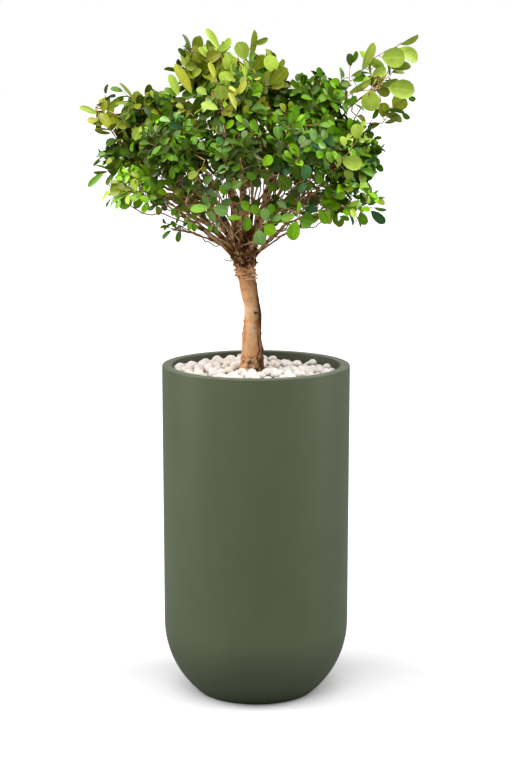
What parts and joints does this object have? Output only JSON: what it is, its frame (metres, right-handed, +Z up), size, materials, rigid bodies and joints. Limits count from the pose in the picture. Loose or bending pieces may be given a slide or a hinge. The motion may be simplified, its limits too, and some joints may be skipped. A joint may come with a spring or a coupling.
{
  "type": "potted standard tree",
  "caption": "Small standard tree: a short clear stem, a fan of boughs and a loose leafy crown, in a tall round-bottomed planter dressed with white pebbles.",
  "frame": {"origin": "centre of the planter's flat underside, which stands on the floor", "axes": "+Z up along the planter's axis, -Y the front, +X to the right as seen from the front"},
  "size_m": [0.646, 0.5079, 1.266],
  "materials": {
    "planter": "matte",
    "potting_mix": "matte",
    "pebble": "matte",
    "trunk_bark": "matte",
    "bough_bark": "matte",
    "foliage": "satin"
  },
  "bodies": {
    "root": {"planter": "planter", "soil": "potting_mix", "pebbles": "pebble", "trunk": "trunk_bark", "bough_top_left": "bough_bark", "bough_top_right": "bough_bark", "bough_front_top": "bough_bark", "bough_shoulder_left": "bough_bark", "bough_shoulder_right": "bough_bark", "bough_wing_left": "bough_bark", "bough_wing_right": "bough_bark", "bough_mid_front": "bough_bark", "bough_mid_front_left": "bough_bark", "bough_mid_front_right": "bough_bark", "bough_mid_left": "bough_bark", "bough_mid_right": "bough_bark", "bough_low_left": "bough_bark", "bough_low_right": "bough_bark", "bough_low_front": "bough_bark", "bough_low_front_left": "bough_bark", "bough_sprig_left": "bough_bark", "bough_back_top": "bough_bark", "bough_back_left": "bough_bark", "bough_back_right": "bough_bark", "bough_back_mid": "bough_bark", "bough_low_back_left": "bough_bark", "bough_low_back_right": "bough_bark", "leaves_top_left": "foliage", "leaves_top_right": "foliage", "leaves_front_top": "foliage", "leaves_shoulder_left": "foliage", "leaves_shoulder_right": "foliage", "leaves_wing_left": "foliage", "leaves_wing_right": "foliage", "leaves_mid_front": "foliage", "leaves_mid_front_left": "foliage", "leaves_mid_front_right": "foliage", "leaves_mid_left": "foliage", "leaves_mid_right": "foliage", "leaves_low_left": "foliage", "leaves_low_right": "foliage", "leaves_low_front": "foliage", "leaves_low_front_left": "foliage", "leaves_sprig_left": "foliage", "leaves_back_top": "foliage", "leaves_back_left": "foliage", "leaves_back_right": "foliage", "leaves_back_mid": "foliage", "leaves_low_back_left": "foliage", "leaves_low_back_right": "foliage"}
  },
  "joints": []
}
